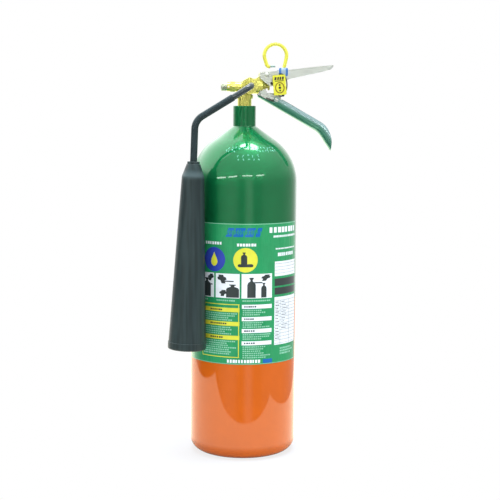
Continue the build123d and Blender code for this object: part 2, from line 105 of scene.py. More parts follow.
class PrintSettings(PropertyGroup):
    white: ink("White", (0.9, 0.9, 0.86))
    yellow: ink("Yellow", (0.76, 0.72, 0.05))
    blue: ink("Dark blue", (0.03, 0.06, 0.38))
    sky: ink("Light blue", (0.005, 0.13, 0.42))
    dark: ink("Dark grey", (0.035, 0.045, 0.04))
    pale: ink("Pale green", (0.27, 0.58, 0.37))


class MetalSettings(PropertyGroup):
    brass: colour("Brass", "Colour of the valve's brass", (0.84, 0.8, 0.19))
    zinc: colour("Zinc plate", "Colour of the lever, bracket and fasteners", (0.7, 0.73, 0.64))
    # partly painted reflection: a chrome grey, darkened and tinted teal for the green cylinder mirrored in
    # it; the stainless parts share it
    chrome: colour("Chrome", "Colour of the carrying handle and the stainless parts", (0.28, 0.4, 0.38))
    cap: colour("Cap", "Colour of the relief cap and the dip tube", (0.5, 0.56, 0.4))
    dark: colour("Dark steel", "Colour of the cross pin", (0.05, 0.05, 0.04))


class PlasticSettings(PropertyGroup):
    horn: colour("Horn", "Colour of the moulded horn", (0.019, 0.032, 0.03))
    tube: colour("Tube", "Colour of the enamelled tube and its sleeve", (0.019, 0.031, 0.031))
    ring: colour("Ring coat", "Colour of the pull ring's coat", (0.72, 0.66, 0.065))
    clip: colour("Clip", "Colour of the seal clip", (0.05, 0.26, 0.7))
    tag: colour("Tag", "Colour of the inspection tag", (0.74, 0.68, 0.035))
    black: colour("Black", "Colour of the strap", (0.016, 0.018, 0.02))


class StudioSettings(PropertyGroup):
    room: share("Room light", "Level of the even light from all round", 0.66)
    key: measure("Soft light", "Power of the soft lamps at the sides", 8.0, "POWER", min=0.0)
    top: measure("Top light", "Power of the soft lamp overhead", 105.0, "POWER", min=0.0)
    distance: measure("Camera distance", "Distance of the camera from the object's axis", 1.7)
    height: measure("Camera height", "Height of the camera over the floor", 0.462)
    heading: measure("Camera heading", "Turn of the camera round the object", radians(5.2), "ROTATION")
    pitch: measure("Camera pitch", "How far the camera looks down", radians(6.5), "ROTATION")


SETTINGS = {
    "extinguisher_cylinder": CylinderSettings,
    "extinguisher_print": PrintSettings,
    "extinguisher_metal": MetalSettings,
    "extinguisher_plastic": PlasticSettings,
    "extinguisher_studio": StudioSettings,
}


# -------- node helpers
def put(node, name, value):
    """Sets one input of a node, by name or number, to a value or to another node's output."""
    if isinstance(value, bpy.types.NodeSocket):
        node.id_data.links.new(value, node.inputs[name])
    else:
        node.inputs[name].default_value = value


def fill(node, *values, **inputs):
    """Sets inputs of a node by order, or by name with spaces as underscores, and gives the node back."""
    for index, value in enumerate(values):
        put(node, index, value)
    for name, value in inputs.items():
        put(node, name.replace("_", " "), value)
    return node


def add(tree, kind, *values, **inputs):
    """A new node of that kind in a tree, with its inputs filled."""
    return fill(tree.nodes.new(kind), *values, **inputs)


def combined(kind, operation, *values):
    """A Math or VectorMath node's outputs, in the tree of the first output among its values."""
    tree = next(value.id_data for value in values if isinstance(value, bpy.types.NodeSocket))
    node = tree.nodes.new(kind)
    node.operation = operation
    return fill(node, *values).outputs


def maths(operation, *values):
    """A Math node's result."""
    return combined("ShaderNodeMath", operation, *values)[0]


def product(first, *others):
    """The product of an output and other outputs or numbers."""
    for other in others:
        first = maths("MULTIPLY", first, other)
    return first


def apart(first, second):
    """How far apart two numbers are."""
    return maths("ABSOLUTE", maths("SUBTRACT", first, second))


def between(factor, first, second):
    """A Mix node between two numbers."""
    node = factor.id_data.nodes.new("ShaderNodeMix")
    for index, value in ((0, factor), (2, first), (3, second)):
        put(node, index, value)
    return node.outputs[0]


def blended(factor, first, second):
    """A Mix node between two colours."""
    node = factor.id_data.nodes.new("ShaderNodeMix")
    node.data_type = "RGBA"
    for index, value in ((0, factor), (6, first), (7, second)):
        put(node, index, value)
    return node.outputs[2]


def either(factor, first, second):
    """A Mix Shader node between two shaders."""
    return add(factor.id_data, "ShaderNodeMixShader", factor, first.outputs[0], second.outputs[0])


def remapped(value, low, high, to_low=0.0, to_high=1.0, smooth=False):
    """A Map Range node: value from low..high to to_low..to_high."""
    node = add(value.id_data, "ShaderNodeMapRange", value, low, high, to_low, to_high)
    node.interpolation_type = "SMOOTHSTEP" if smooth else "LINEAR"
    return node.outputs[0]


def smoothed(value, low, high, to_low=0.0, to_high=1.0):
    """A smooth step of the value from low..high to to_low..to_high."""
    return remapped(value, low, high, to_low, to_high, smooth=True)


def split(vector):
    """The x, y and z of a vector."""
    return add(vector.id_data, "ShaderNodeSeparateXYZ", vector).outputs


def stretched(vector, scale):
    """The vector scaled along each axis; a texture gets longer along an axis with a small scale."""
    return add(vector.id_data, "ShaderNodeMapping", vector, Scale=scale).outputs[0]


def noise(vector, scale, detail=2.0, roughness=0.5):
    """A noise texture's value."""
    return add(vector.id_data, "ShaderNodeTexNoise", vector, Scale=scale, Detail=detail,
               Roughness=roughness).outputs[0]


def by_turn(turn, stops):
    """A level read by the turn in degrees between stops of (turn, level), none over RAMP_TOP."""
    ramp = add(turn.id_data, "ShaderNodeValToRGB", remapped(turn, -180.0, 180.0))
    elements = ramp.color_ramp.elements
    elements.remove(elements[1])
    first, *others = [(angle / 360 + 0.5, (level / RAMP_TOP,) * 3 + (1.0,)) for angle, level in stops]
    elements[0].position, elements[0].color = first
    for position, grey in others:
        elements.new(position).color = grey
    return product(ramp.outputs[0], RAMP_TOP)


def new_group(name, *outputs, kind="NodeSocketFloat", **inputs):
    """A shader node group: a Vector and numbers with their defaults in, and outputs of one kind."""
    tree = bpy.data.node_groups.new(name, "ShaderNodeTree")
    tree.interface.new_socket("Vector", in_out="INPUT", socket_type="NodeSocketVector")
    for socket, default in inputs.items():
        made = tree.interface.new_socket(socket, in_out="INPUT", socket_type="NodeSocketFloat")
        made.default_value = default
    for socket in outputs:
        tree.interface.new_socket(socket, in_out="OUTPUT", socket_type=kind)
    return tree, tree.nodes.new("NodeGroupInput").outputs, tree.nodes.new("NodeGroupOutput")


def placed(vector, group, **inputs):
    """The outputs of a node group placed in the vector's tree, with its inputs filled."""
    node = vector.id_data.nodes.new("ShaderNodeGroup")
    node.node_tree = bpy.data.node_groups[group]
    return fill(node, Vector=vector, **inputs).outputs


def build_grain_group():
    """Fine, even grain: two sizes of noise added, as a height and as a tone from 0 to 1."""
    _, given, result = new_group("fine_grain", "Height", "Tone", Size=1000.0, Coarse=0.3)
    fine = noise(given["Vector"], given["Size"], 3.0)
    broad = noise(given["Vector"], product(given["Size"], BROAD_SHARE))
    height = maths("ADD", fine, product(broad, given["Coarse"]))
    fill(result, Height=height, Tone=remapped(broad, 0.3, 0.7))


def build_wear_and_highlight_group():
    """Edge wear, and painted highlight on the horn: where the surface turns within Reach, broken up by
    noise; 1 on a worn edge, and on the horn 1 on an edge painted lighter as a highlight.
    """
    tree, given, result = new_group("edge_wear", "Mask", Reach=0.0006, Amount=0.5)
    rounded = add(tree, "ShaderNodeBevel", Radius=given["Reach"])
    rounded.samples = 4
    plain = tree.nodes.new("ShaderNodeNewGeometry").outputs["Normal"]
    same = combined("ShaderNodeVectorMath", "DOT_PRODUCT", rounded.outputs[0], plain)["Value"]
    edge = remapped(maths("SUBTRACT", 1.0, same), 0.01, 0.12)
    broken = remapped(noise(given["Vector"], 700.0), 0.35, 0.62)
    fill(result, Mask=product(edge, broken, given["Amount"]))


def build_marks_group():
    """Faint handling marks: thin, long noise streaks along Z and specks, from 0 to 1."""
    _, given, result = new_group("handling_marks", "Mask", Size=60.0)
    streaks = noise(stretched(given["Vector"], (1.0, 1.0, 0.15)), given["Size"], 6.0, 0.7)
    fill(result, Mask=remapped(streaks, 0.45, 0.75))


def build_room_group():
    """The studio as a glossy surface sees it, by direction: dim room in front, panels and lamps.

    The turn is atan2(x, -y) and the rise is asin(z) of the direction, both in degrees. The dim room is
    a ramp over the turn, the ceiling a ramp over the rise, and each panel a product of smooth steps."""
    _, given, result = new_group("studio_room", "Level", kind="NodeSocketColor")
    x, y, z = split(combined("ShaderNodeVectorMath", "NORMALIZE", given["Vector"])[0])
    turn = product(maths("ARCTAN2", x, product(y, -1.0)), 180 / pi)
    rise = product(maths("ARCSINE", z), 180 / pi)

    high = remapped(rise, *CEILING_HIGH)
    right = smoothed(turn, *CEILING_RIGHT)
    ceiling = maths("ADD", product(high, CEILING_RISE), CEILING_LEVEL)
    ceiling = maths("ADD", ceiling, product(right, high, CEILING_RIGHT_RISE))
    level = between(smoothed(rise, *CEILING_FROM), by_turn(turn, ROOM_BANDS), ceiling)
    behind = smoothed(maths("ABSOLUTE", turn), *BACKDROP_FROM)
    level = between(behind, level, BACKDROP_LEVEL)

    inside = maths("SUBTRACT", remapped(rise, *PANEL_EDGE), turn)
    panel = product(smoothed(inside, *PANEL_BLUR), smoothed(rise, *PANEL_FOOT), smoothed(rise, *PANEL_TOP))
    level = between(panel, level, PANEL_LEVEL)

    off = apart(x, np.sin(LAMP_LEAN))
    toward = maths("ADD", product(z, np.cos(LAMP_LEAN)), product(x, np.sin(LAMP_LEAN)))
    toward = maths("ADD", toward, product(maths("POWER", off, 2.0), LAMP_SPREAD))
    lamp = product(smoothed(toward, *LAMP_EDGE), smoothed(off, *LAMP_BAR))
    level = between(lamp, level, LAMP_LEVEL)

    spans = [(-180, 0)]
    for start, end in TUBE_SPANS:
        spans += [(start - 1, 0), (start, 1), (end, 1), (end + 1, 0)]
    off = apart(rise, remapped(turn, *TUBE_LINE))
    tubes = product(smoothed(off, *TUBE_HALF), by_turn(turn, spans))
    fill(result, Level=between(tubes, level, TUBE_LEVEL))


BROAD_SHARE = 0.06  # the broad grain's scale as a share of the fine grain's
RAMP_TOP = 4.0  # the brightest level that a ramp over the turn holds

# how bright the dim room in front is, by turn in degrees from straight ahead
ROOM_BANDS = [(-180, 1.2), (-140, 1.2), (-122, 1.0), (-112, 0.45), (-104, 0.15), (-98, 0.1),
              (-78, 0.12), (-62, 0.22), (-52, 0.45),
              (-34, 0.68), (-24, 0.62), (-12, 0.3), (-6, 0.3), (4, 1.0), (10, 0.95), (18, 0.35), (30, 0.35),
              (38, 0.55), (60, 0.6), (85, 0.5), (114, 0.55), (135, 0.8), (180, 1.2)]
# the ceiling: its level, and how much it gains over a span of rise and over a span of turn to the right
CEILING_FROM, CEILING_LEVEL = (0.0, 22.0), 0.9
CEILING_HIGH, CEILING_RISE = (25.0, 75.0), 0.5
CEILING_RIGHT, CEILING_RIGHT_RISE = (20.0, 70.0), 0.5
BACKDROP_FROM, BACKDROP_LEVEL = (132.0, 152.0), 1.4
# the panel at the left: its edge's turn goes with the rise, and its foot and top are spans of rise
PANEL_EDGE, PANEL_BLUR = (20.0, 60.0, -84.0, -62.0), (0.0, 5.0)
PANEL_FOOT, PANEL_TOP, PANEL_LEVEL = (10.0, 18.0), (74.0, 70.0), 2.6
# the lamp overhead: a disc leaning to +X, longer along x, with a dark bar across its middle
LAMP_LEAN, LAMP_SPREAD, LAMP_EDGE = radians(8.0), 0.3, (0.984, 0.99)
LAMP_BAR, LAMP_LEVEL = (0.01, 0.035), 20.0
# the row of lamp tubes in front: its rise goes with the turn, and it fades out over TUBE_HALF
TUBE_LINE, TUBE_HALF = (-66.0, -12.0, 9.5, 17.5), (1.6, 1.1)
TUBE_SPANS, TUBE_LEVEL = [(-66, -46), (-40, -21), (-8, 13), (22, 40)], 13.0
# the white table under the object: its sides, front and colour, and the shade at the object's foot
TABLE_LEFT, TABLE_RIGHT, TABLE_FRONT = (-0.55, -0.54), (0.355, 0.345), (-0.274, -0.262)
TABLE_RGBA = (2.4, 2.328, 1.92, 1.0)
TABLE_SHADE, FLOOR_SHADE = (0.055, 0.12, 0.12, 1.0), (0.07, 0.16, 0.8, 1.0)

# fixed colours of the finishes
BLACK, WHITE = (0.0, 0.0, 0.0, 1.0), (1.0, 1.0, 1.0, 1.0)
RUBBED_ENAMEL, RUBBED_ZINC = (0.3, 0.33, 0.3, 1.0), (0.85, 0.86, 0.84, 1.0)
# pale green of the stamped ticks: rubbed paint, made paler still as a painted highlight on their raised
# faces
STAMP_ENAMEL = (0.13, 0.47, 0.31, 1.0)
# painted light on the chrome handle: a green reflection below, a dark reflection on the rim and shade in the
# trough
PAINTED_GREEN_REFLECTION, PAINTED_DARK_RIM_REFLECTION = (0.1, 0.31, 0.2, 1.0), (0.12, 0.16, 0.16, 1.0)
PAINTED_TROUGH_SHADE = (0.07, 0.08, 0.08, 1.0)
# painted light: the pale middle of the clip stands for light showing through the clear plastic
CLIP_PAINTED_PALE = (0.72, 0.88, 0.95, 1.0)
TAG_BROWN, TAG_DARK = (0.22, 0.12, 0.01, 1.0), (0.04, 0.03, 0.015, 1.0)
FIBRE, RUBBER = (0.6, 0.58, 0.5, 1.0), (0.02, 0.02, 0.02, 1.0)
CHANGE_RIPPLE, CHANGE_BLUR = 0.8 * MM, 0.4 * MM  # of the line between the cylinder's two colours
HORN_SHOULDER_Z = 371.5 * MM  # where the horn's cone turns into its long taper
HORN_HIGHLIGHT_HALF = 7.5 * MM  # half the height of the band of painted highlight there


# -------- materials
def new_material(name):
    """A material with its Principled shader and its Object coordinates."""
    material = bpy.data.materials.new(name)
    material.use_nodes = True
    tree = material.node_tree
    tree.nodes.clear()
    shader = tree.nodes.new("ShaderNodeBsdfPrincipled")
    add(tree, "ShaderNodeOutputMaterial", Surface=shader.outputs[0])
    place = tree.nodes.new("ShaderNodeTexCoord").outputs["Object"]
    return material, shader, place


def bumped(shader, height, strength, depth):
    """Gives a shader a bump of that depth in metres."""
    bump = add(shader.id_data, "ShaderNodeBump", Height=height, Strength=strength, Distance=depth)
    put(shader, "Normal", bump.outputs[0])


def lightened(rgba, gain, lift=0.0):
    """The colour times a gain, plus a lift, up to 1."""
    return tuple(min(1.0, c * gain + lift) for c in rgba[:3]) + (1.0,)


def toned(tone, rgba, darker, lighter):
    """The colour, varied between two multiples of itself by a tone from 0 to 1."""
    return blended(tone, lightened(rgba, darker), lightened(rgba, lighter))


def enamel_material(settings):
    """Two-tone gloss enamel: the colour changes at a height, under a clear coat with orange peel."""
    material, shader, place = new_material("cylinder_enamel")
    ripple = product(maths("SUBTRACT", noise(place, 35.0), 0.5), CHANGE_RIPPLE)
    upper = remapped(maths("ADD", split(place)[2], ripple),
                     settings.change - CHANGE_BLUR, settings.change + CHANGE_BLUR)
    height, tone = placed(place, "fine_grain", Size=420.0, Coarse=0.6)
    marks = placed(place, "handling_marks", Size=90.0)[0]
    wear = placed(place, "edge_wear", Reach=0.0008, Amount=0.55)[0]
    paint = blended(upper, toned(tone, settings.lower, 0.96, 1.03), toned(tone, settings.upper, 0.94, 1.06))
    fill(shader, Base_Color=blended(wear, paint, RUBBED_ENAMEL),
         Metallic=product(upper, settings.flake), Specular_IOR_Level=0.0,
         Roughness=between(marks, settings.polish - 0.04, settings.polish + 0.1),
         Coat_Weight=1.0, Coat_Roughness=0.035)
    bumped(shader, height, 0.16, 0.0002)
    return material


def ink_material(name, rgba, rough=0.32):
    """Ink on the film: its colour with slight unevenness, under the film's own gloss."""
    material, shader, place = new_material(name)
    height, tone = placed(place, "fine_grain", Size=900.0, Coarse=0.8)
    marks = placed(place, "handling_marks", Size=120.0)[0]
    fill(shader, Base_Color=toned(tone, rgba, 0.93, 1.05),
         Roughness=between(marks, rough - 0.04, rough + 0.08),
         Specular_IOR_Level=0.1, Coat_Weight=0.8, Coat_Roughness=0.07)
    bumped(shader, height, 0.05, 0.0001)
    return material


def brass_material(rgba):
    """Forged and turned brass: yellow metal, darker in patches, brighter on rubbed edges."""
    material, shader, place = new_material("valve_brass")
    height = placed(place, "fine_grain", Size=700.0, Coarse=1.0)[0]
    wear = placed(place, "edge_wear", Reach=0.0005, Amount=0.8)[0]
    patch = remapped(noise(place, 130.0, 4.0), 0.35, 0.65)
    base = toned(patch, rgba, 0.78, 1.04)
    fill(shader, Base_Color=blended(wear, base, lightened(rgba, 1.25, 0.04)),
         Roughness=between(patch, 0.4, 0.24), Metallic=0.85)
    bumped(shader, height, 0.25, 0.0001)
    return material


def zinc_material(rgba):
    """Zinc plate on pressed steel: soft satin with fine brushing along the lever."""
    material, shader, place = new_material("zinc_plate")
    brushed = noise(stretched(place, (0.05, 1.0, 1.0)), 2600.0, 3.0)
    tone = placed(place, "fine_grain", Size=500.0, Coarse=1.0)[1]
    wear = placed(place, "edge_wear", Reach=0.0005, Amount=0.7)[0]
    base = toned(tone, rgba, 0.86, 1.05)
    fill(shader, Base_Color=blended(wear, base, RUBBED_ZINC),
         Roughness=remapped(brushed, 0.3, 0.7, 0.34, 0.5), Metallic=0.75)
    bumped(shader, brushed, 0.12, 0.00006)
    return material


def chrome_material(rgba):
    """Chrome plate, faintly marked, with painted light: a painted green reflection below the belly, a
    painted dark reflection on the upward faces of the rim, and painted shade in the trough.

    A face looks inward where its normal's y and its place's y have opposite signs."""
    material, shader, place = new_material("bright_chrome")
    _, facing_y, facing_z = split(place.node.outputs["Normal"])
    outward = product(split(place)[1], facing_y)
    below = smoothed(facing_z, 0.25, -0.25)
    rim = smoothed(facing_z, 0.45, 0.8)
    trough = smoothed(outward, -0.0006, -0.003)
    height, tone = placed(place, "fine_grain", Size=300.0, Coarse=1.0)
    marks = placed(place, "handling_marks", Size=200.0)[0]
    plate = toned(tone, rgba, 0.95, 1.03)
    # painted light: the green reflection below, the dark reflection on the upward faces and the shade in the
    # inward trough are mixed into the colour
    for mask, tint in ((below, PAINTED_GREEN_REFLECTION), (rim, PAINTED_DARK_RIM_REFLECTION), (trough, PAINTED_TROUGH_SHADE)):
        plate = blended(mask, plate, tint)
    # the metal share drops where the painted green reflection lies, so that it shows
    fill(shader, Base_Color=plate, Roughness=between(marks, 0.18, 0.3), Metallic=between(below, 0.65, 0.45))
    bumped(shader, height, 0.04, 0.00005)
    return material


def satin_metal_material(name, rgba, rough, metallic):
    """A turned metal part: fine grain, lighter where edges are rubbed."""
    material, shader, place = new_material(name)
    height, tone = placed(place, "fine_grain", Size=900.0, Coarse=0.7)
    wear = placed(place, "edge_wear", Reach=0.0004, Amount=0.6)[0]
    base = toned(tone, rgba, 0.88, 1.08)
    fill(shader, Base_Color=blended(wear, base, lightened(rgba, 1.5, 0.05)),
         Roughness=between(tone, rough + 0.05, rough - 0.05), Metallic=metallic)
    bumped(shader, height, 0.15, 0.00006)
    return material


def moulded_material(name, rgba, rough, grain_size=1400.0, depth=0.0001, coat=0.0):
    """Moulded plastic or rubber: fine grain in the surface, with uneven sheen and faint handling marks."""
    material, shader, place = new_material(name)
    height, tone = placed(place, "fine_grain", Size=grain_size, Coarse=0.5)
    marks = placed(place, "handling_marks", Size=70.0)[0]
    base = toned(tone, rgba, 0.92, 1.08)
    hazed = blended(product(marks, 0.35), base, lightened(rgba, 1.35, 0.012))
    fill(shader, Base_Color=hazed, Roughness=between(marks, rough - 0.05, rough + 0.07),
         Specular_IOR_Level=0.25, Coat_Weight=coat, Coat_Roughness=0.05)
    bumped(shader, height, 0.3, depth)
    return material


def horn_material(rgba):
    """Moulded horn: soft lighter and darker streaks down it, and painted highlight round its shoulder, its
    rim and its other edges.
    """
    material, shader, place = new_material("horn_plastic")
    streaks = noise(stretched(place, (1.0, 1.0, 0.03)), 230.0, 1.0)
    height = placed(place, "fine_grain", Size=1500.0, Coarse=0.5)[0]
    # painted highlight: this edge mask lightens the horn's edges, it is not wear
    edge = placed(place, "edge_wear", Reach=0.001, Amount=0.7)[0]
    off = apart(split(place)[2], HORN_SHOULDER_Z)
    # painted highlight: a paler band round the knee of the shoulder, joined with the edges
    painted_highlight = maths("MAXIMUM", edge, smoothed(off, HORN_HIGHLIGHT_HALF, 0.0, 0.0, 0.9))
    base = toned(remapped(streaks, 0.38, 0.62), rgba, 0.8, 1.25)
    fill(shader, Base_Color=blended(painted_highlight, base, lightened(rgba, 2.2, 0.02)),
         Roughness=remapped(streaks, 0.35, 0.65, 0.34, 0.44), Specular_IOR_Level=0.35)
    bumped(shader, height, 0.3, 0.00012)
    return material


def clip_material(rgba):
    """Clear plastic of the seal clip, blue towards both sides and painted pale in the middle of its width as
    painted light showing through it.
    """
    material, shader, place = new_material("clip_clear_blue")
    tone = placed(place, "fine_grain", Size=300.0, Coarse=1.0)[1]
    middle, half = (CLIP_LOW.x + CLIP_HIGH.x) / 2, (CLIP_HIGH.x - CLIP_LOW.x) / 2
    off = apart(split(place)[0], middle)
    side = smoothed(off, 0.3 * half, 0.75 * half)
    blue = toned(tone, rgba, 0.9, 1.1)
    # painted light: the pale middle, blended to blue towards the sides
    fill(shader, Base_Color=blended(side, CLIP_PAINTED_PALE, blue),
         Roughness=between(tone, 0.1, 0.2), Transmission_Weight=0.5, IOR=1.46)
    return material


def finish_nodes(material, *names):
    """Puts a material on CAD nodes, in place of their plain ones."""
    for name in names:
        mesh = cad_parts[name].data
        mesh.materials.clear()
        mesh.materials.append(material)


# -------- surfaces
def grid_faces(rows, columns, start=0):
    """Quads of a grid of rows by columns points, numbered row by row from start."""
    corner = np.arange(rows - 1)[:, None] * columns + np.arange(columns - 1)[None, :] + start
    return np.stack([corner, corner + 1, corner + columns + 1, corner + columns], -1).reshape(-1, 4)


def sharpen_rim(mesh):
    """Marks the open edges of a sheet sharp, so that its wall doesn't bend the shading of its face."""
    used = np.empty(len(mesh.loops), dtype=np.int32)
    mesh.loops.foreach_get("edge_index", used)
    rim = np.bincount(used, minlength=len(mesh.edges)) == 1
    mesh.attributes.new("sharp_edge", "BOOLEAN", "EDGE").data.foreach_set("value", rim)


def new_object(name, data):
    """An object in the scene."""
    thing = bpy.data.objects.new(name, data)
    bpy.context.scene.collection.objects.link(thing)
    return thing


def new_piece(name, points, faces, material, body, slot, thickness=0.0):
    """A finished piece: a mesh from arrays, riding on a body, with a wall where it is a thin film.

    With no body it is left free."""
    mesh = bpy.data.meshes.new(name)
    mesh.from_pydata(points.tolist(), [], faces.tolist())
    mesh.materials.append(material)
    mesh.shade_smooth()
    sharpen_rim(mesh)
    piece = new_object(name, mesh)
    if thickness:
        wall = piece.modifiers.new("film", "SOLIDIFY")
        wall.thickness = thickness
        wall.offset = -1.0
    if body:
        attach(piece, body)
    return piece


BAR = ((0.0, 1.0), (1.0, 1.0))
BOTTLE = ((0.0, 1.0), (0.62, 1.0), (0.74, 0.82), (0.82, 0.3), (0.9, 0.28), (0.93, 0.5), (1.0, 0.5))
DROP = ((0.0, 0.25), (0.12, 0.75), (0.3, 1.0), (0.5, 0.85), (0.75, 0.4), (1.0, 0.0))
HAND = ((0.0, 0.45), (0.35, 0.5), (0.45, 1.0), (0.7, 1.0), (0.8, 0.6), (1.0, 0.55))
COLUMN_WIDTH = 3.0  # mm between the columns of a print shape, so that it follows the round film
WORD_SHARE, WORD_UNEVEN = 0.86, 0.26  # how much of its pitch a word fills, and how much that varies


def shape_grid(outline, width, height, slant=0.0):
    """Flat print shape, as columns u across and v up, both centred.

    The row at share t of the height runs from -w(t) to w(t), where w is the outline's half width, read
    between its points, or half a circle's; slant moves the top of the shape along u."""
    if outline == "disc":
        t = (1 - np.cos(np.linspace(0, pi, 25))) / 2
        half = 2 * np.sqrt(np.maximum(t * (1 - t), 0))
    elif outline == "capsule":
        t = np.linspace(0, 1, 9)
        half = 1 - height / width * (1 - np.sqrt(np.maximum(1 - (2 * t - 1) ** 2, 0)))
    else:
        t, half = np.array(outline, float).T
    across = np.linspace(-1, 1, max(2, int(width / COLUMN_WIDTH) + 2))
    u = half[:, None] * across[None, :] * width / 2 + slant * (t[:, None] - 0.5)
    v = (t[:, None] - 0.5) * height + 0 * across[None, :]
    return u, v


def ring_grid(width, height, line):
    """Flat ellipse line: between the ellipse and the same ellipse made smaller by the line's width."""
    a = np.linspace(0, tau, 41)
    inward = np.array([[0.0], [1.0]])
    u = np.cos(a)[None, :] * (width / 2 - inward * line)
    v = np.sin(a)[None, :] * (height / 2 - inward * line)
    return u[:, ::-1], v[:, ::-1]


def mark(outline, width, height, angle, z, layer=1, slant=0.0):
    """A print shape with its place: an angle off the front or an x, a height, and the ink's layer."""
    return (*shape_grid(outline, width, height, slant), angle, z, layer)


def round_film(u, v, angle, z, layer):
    """Wraps a flat print round the cylinder: u is arc length from an angle off the front, v is height."""
    r = FILM_R + layer * PRINT_LIFT
    a = radians(angle) + u * MM / r
    return np.stack([r * np.sin(a), -r * np.cos(a), z * MM + v * MM], -1)


def printed(name, wrap, shapes, rgba, body, slot):
    """A print: placed shapes wrapped on a surface and joined into one piece of thin ink."""
    points, faces, count = [], [], 0
    for u, v, *place in shapes:
        points.append(wrap(u, v, *place).reshape(-1, 3))
        faces.append(grid_faces(*u.shape, start=count))
        count += u.size
    new_piece(name, np.concatenate(points), np.concatenate(faces), ink_material(name, rgba), body, slot,
              PRINT_LIFT / 2)


def bar(start, end, z, height, layer=1):
    """A bar of print from one angle off the front to another, in degrees, centred at height z."""
    return mark(BAR, radians(end - start) * FILM_R / MM, height, (start + end) / 2, z, layer)


def framed(start, end, low, high, line, layer=1):
    """Four thin bars round a block."""
    side = np.degrees(line * MM / FILM_R)
    return [*(bar(start, end, z, line, layer) for z in (low, high)),
            *(mark(BAR, line, high - low, angle, (low + high) / 2, layer) for angle in (start, end - side))]


def lines(rng, start, end, z, height, rows=1, pitch=0.0, layer=1, ragged=0.3, word=4.0):
    """Rows of small print as bars: left aligned, uneven in length, broken into words."""
    shapes = []
    width = radians(end - start) * FILM_R / MM
    for row in range(rows):
        length = width * (1 - ragged * rng.random())
        count = max(1, round(length / word))
        pitch_u = length / count
        for n in range(count):
            long = pitch_u * (WORD_SHARE - WORD_UNEVEN * rng.random())
            u, v = shape_grid(BAR, long, height)
            u = u - width / 2 + n * pitch_u + long / 2
            shapes.append((u, v, (start + end) / 2, z - row * pitch, layer))
    return shapes


# -------- printed film
PANELS = ((-75.0, -37.5), (-35.5, -9.0), (-7.0, 26.5))
LEFT_BLOCK, MIDDLE_BLOCK, TABLE = (-53.0, -9.0), (-6.5, 26.5), (30.0, 67.6)
YELLOW_HEADS = (198.5, 180.5, 162.5)
WHITE_HEADS = (203.0, 187.0, 171.5, 155.5)
WHITE_LINES = (  # start, end, height, size and word length of each line of the titles
    (23.0, 66.0, 301.0, 7.0, 7.0), (28.0, 67.0, 292.5, 2.6, 2.6), (31.0, 66.0, 276.5, 1.8, 2.6),
    (34.0, 62.0, 269.0, 4.4, 4.0), (-49.0, -28.0, 284.0, 3.6, 3.6), (-12.0, 9.0, 282.5, 3.6, 3.6),
    (-22.0, 14.0, 131.8, 4.2, 3.8))
DARK_SHAPES = (  # outline, width, height, angle, middle, layer and slant of each bottle and hand
    (BOTTLE, 13, 24, -47.0, 226.5, 2), (BOTTLE, 17, 17, -16.5, 223.0, 2), (BOTTLE, 11, 26, 3.5, 227.5, 2),
    (BOTTLE, 7.5, 19, 17.0, 224.0, 2), (HAND, 9, 9, -42.0, 239.5, 2, 3), (HAND, 12, 11, -28.0, 238.0, 2, -4),
    (HAND, 10, 8, -27.0, 220.0, 2, 2), (HAND, 12, 8, 19.0, 240.0, 2, 5),
    ("capsule", 13, 1.5, -20.5, 235.5, 2), ("capsule", 12, 1.5, 10.5, 234.0, 2),
    ("capsule", 9, 1.5, -43.0, 230.5, 2), ("capsule", 20, 4.0, -3.0, 256.0, 2),
    (BOTTLE, 8, 16, -4.5, 265.0, 2))
SKY_BLOCKS = ((-19.5, 8.0), (-9.5, 13.0), (2.0, 11.0), (11.0, 6.0))  # angle and width
DISC_SIZE, DISC_Z = 31.5, 263.0
TABLE_RULES = ((257.0, 4.1, 4), (209.0, 4.3, 14))  # top, pitch and number of its fine lines
PRINT_SEED = 7


def white_print(rng):
    """White of the film: three panels, the heading bars of a block, the table and the titles."""
    shapes = [bar(*panel, 229.5, 31.5) for panel in PANELS]
    shapes += [bar(*MIDDLE_BLOCK, z, 5.2) for z in WHITE_HEADS]
    shapes += [bar(*TABLE, 250.5, 19.0), bar(*TABLE, 182.5, 62.5)]
    for start, end, z, height, word in WHITE_LINES:
        shapes += lines(rng, start, end, z, height, ragged=0.0, word=word)
    return shapes


def yellow_print(rng):
    """Yellow of the film: a disc, a drop, and a framed block with three heading bars."""
    shapes = [mark("disc", DISC_SIZE, DISC_SIZE, -3.0, DISC_Z), mark(DROP, 10, 18, -37.5, 263.5, 3)]
    shapes += [bar(*LEFT_BLOCK, z, 5.4, 2) for z in YELLOW_HEADS]
    return shapes + framed(*LEFT_BLOCK, 137.0, 205.5, 1.0, 2)


def blue_print(rng):
    """Dark blue disc."""
    return [mark("disc", DISC_SIZE, DISC_SIZE, -37.5, DISC_Z)]


def sky_print(rng):
    """Lighter blue: slanted blocks as a heading, and a block at the foot."""
    shapes = [mark(BAR, width, 11.5, angle, 298.5, slant=4.0) for angle, width in SKY_BLOCKS]
    return shapes + [bar(16.5, 27.5, 131.5, 5.4)]


def dark_print(rng):
    """Dark shapes: plain bottles and hands in the panels, table heads and fine table lines."""
    shapes = [mark(*shape) for shape in DARK_SHAPES]
    shapes += [bar(*TABLE, z, height, 2) for z, height in ((233.0, 9.5), (221.5, 9.0))]
    shapes += [bar(TABLE[0] + 0.6, TABLE[1] - 0.6, top - row * pitch, 0.3, 2)
               for top, pitch, rows in TABLE_RULES for row in range(rows)]
    shapes += [mark(BAR, 0.35, 58, angle, 180.5, 2) for angle in (38.0, 53.0)]
    shapes += lines(rng, 31.5, 37.0, 207.0, 1.2, 12, 4.3, 2, word=2.4)
    shapes += lines(rng, 40.0, 52.0, 207.0, 1.0, 9, 4.3, 2, ragged=0.7, word=2.2)
    for z in YELLOW_HEADS:
        shapes += lines(rng, -42.0, -22.0, z, 2.0, layer=3, word=3.0)
    for z in WHITE_HEADS:
        shapes += lines(rng, -4.0, 9.0, z, 2.0, layer=2, word=2.8)
    return shapes


